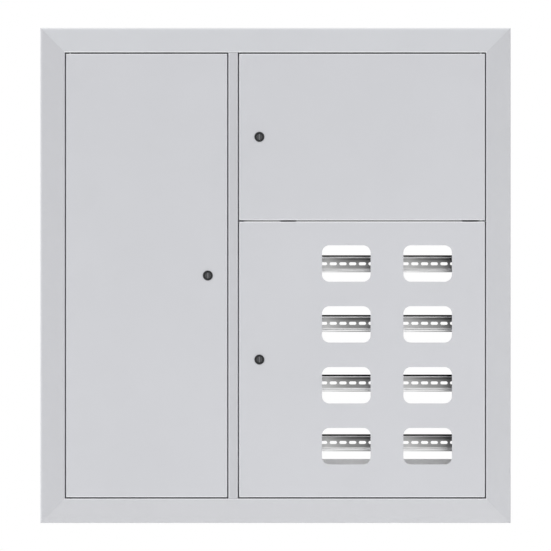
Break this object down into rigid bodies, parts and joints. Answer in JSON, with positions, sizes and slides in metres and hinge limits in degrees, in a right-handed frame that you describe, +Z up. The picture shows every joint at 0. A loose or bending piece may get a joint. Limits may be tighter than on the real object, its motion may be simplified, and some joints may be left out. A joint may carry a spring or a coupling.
{
  "type": "floor distribution board",
  "caption": "Flush distribution board in grey sheet steel with a tall side door, an upper door and a meter door whose rounded windows show top-hat rails.",
  "frame": {"origin": "centre of the four wall fixing holes on the rear face of the back panel", "axes": "+X to the right seen from the front, +Y into the wall, +Z up"},
  "size_m": [0.95, 0.1415, 1],
  "materials": {
    "frame_paint": "fine satin powder coat, light grey",
    "door_paint": "fine satin powder coat, light grey",
    "box_paint": "satin powder coat, light grey",
    "galvanised": "galvanised sheet with a fine spangle",
    "rail_zinc": "rolled and zinc-plated",
    "zinc_steel": "zinc-plated",
    "lock_black": "dark die-cast, satin",
    "lock_zinc": "dark die-cast zinc",
    "brass": "drawn bar, satin",
    "insulator": "moulded, blue",
    "nylon": "moulded, dark"
  },
  "bodies": {
    "root": {"trim_top": "frame_paint", "trim_bottom": "frame_paint", "trim_left": "frame_paint", "trim_right": "frame_paint", "mullion": "frame_paint", "side_wall_left": "galvanised", "side_wall_right": "galvanised", "top_wall": "galvanised", "bottom_wall": "galvanised", "back_panel": "galvanised", "vertical_partition": "box_paint", "shelf": "box_paint", "hinge_pins": "zinc_steel", "hinge_washers": "nylon", "middle_hinge_plate": "zinc_steel", "middle_hinge_pin": "zinc_steel", "rail_upright_left": "galvanised", "rail_upright_centre": "galvanised", "rail_upright_right": "galvanised", "breaker_upright_left": "galvanised", "breaker_upright_right": "galvanised", "breaker_rail_upper": "rail_zinc", "breaker_rail_lower": "rail_zinc", "mounting_screws": "zinc_steel", "neutral_bar": "brass", "neutral_bar_insulators": "insulator", "earth_bar": "brass", "terminal_screws": "zinc_steel", "signal_strip_upper": "galvanised", "signal_strip_lower": "galvanised", "meter_rail_left_1": "rail_zinc", "meter_rail_left_2": "rail_zinc", "meter_rail_left_3": "rail_zinc", "meter_rail_left_4": "rail_zinc", "meter_rail_right_1": "rail_zinc", "meter_rail_right_2": "rail_zinc", "meter_rail_right_3": "rail_zinc", "meter_rail_right_4": "rail_zinc"},
    "left_door": {"left_door": "door_paint", "left_door_stiffener": "door_paint", "left_lock_housing": "lock_black", "left_lock_nut": "zinc_steel"},
    "left_lock": {"left_lock_insert": "lock_zinc", "left_lock_cam": "zinc_steel", "left_lock_screw": "zinc_steel"},
    "upper_door": {"upper_door": "door_paint", "upper_door_stiffener": "door_paint", "upper_lock_housing": "lock_black", "upper_lock_nut": "zinc_steel"},
    "upper_lock": {"upper_lock_insert": "lock_zinc", "upper_lock_cam": "zinc_steel", "upper_lock_screw": "zinc_steel"},
    "meter_door": {"meter_door": "door_paint", "meter_door_stiffener": "door_paint", "meter_lock_housing": "lock_black", "meter_lock_nut": "zinc_steel"},
    "meter_lock": {"meter_lock_insert": "lock_zinc", "meter_lock_cam": "zinc_steel", "meter_lock_screw": "zinc_steel"}
  },
  "joints": [
    {"name": "left_door_hinge", "type": "hinge", "parent": "root", "child": "left_door", "pos_m": [-0.4145, -0.135, 0], "axis": [0, 0, -1], "range_deg": [0, 120]},
    {"name": "upper_door_hinge", "type": "hinge", "parent": "root", "child": "upper_door", "pos_m": [0.4145, -0.135, 0.2796], "axis": [0, 0, 1], "range_deg": [0, 120]},
    {"name": "meter_door_hinge", "type": "hinge", "parent": "root", "child": "meter_door", "pos_m": [0.4145, -0.135, -0.1695], "axis": [0, 0, 1], "range_deg": [0, 120]},
    {"name": "left_lock_turn", "type": "hinge", "parent": "left_door", "child": "left_lock", "pos_m": [-0.1365, -0.12, 0], "axis": [0, -1, 0], "range_deg": [0, 90]},
    {"name": "upper_lock_turn", "type": "hinge", "parent": "upper_door", "child": "upper_lock", "pos_m": [-0.0325, -0.12, 0.2796], "axis": [0, 1, 0], "range_deg": [0, 90]},
    {"name": "meter_lock_turn", "type": "hinge", "parent": "meter_door", "child": "meter_lock", "pos_m": [-0.0325, -0.12, -0.1695], "axis": [0, 1, 0], "range_deg": [0, 90]}
  ]
}
